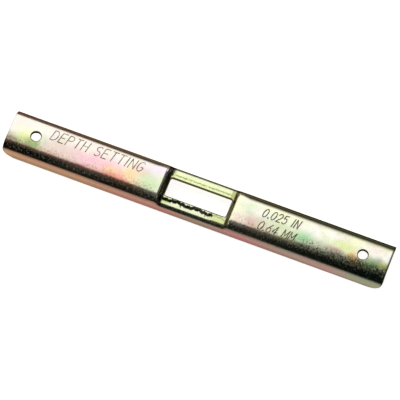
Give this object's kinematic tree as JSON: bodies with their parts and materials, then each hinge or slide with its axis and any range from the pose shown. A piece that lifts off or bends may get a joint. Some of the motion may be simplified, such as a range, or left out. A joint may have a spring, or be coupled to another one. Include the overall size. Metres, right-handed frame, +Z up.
{
  "type": "chainsaw depth gauge",
  "caption": "Depth gauge for a saw chain: a shallow channel folded from sheet steel, with a pressed-down windowed recess in the middle and a hanging hole near each end.",
  "frame": {"origin": "midway along and across the channel, on the surface that the free edges of its flanges stand on", "axes": "+X along the channel, +Y across it, +Z up out of the web"},
  "size_m": [0.127, 0.0144, 0.0063],
  "materials": {
    "plated_steel": "bright zinc plate with a yellow passivate that shows faint green, pink and gold tints"
  },
  "bodies": {
    "root": {"gauge_body": "plated_steel"}
  },
  "joints": []
}
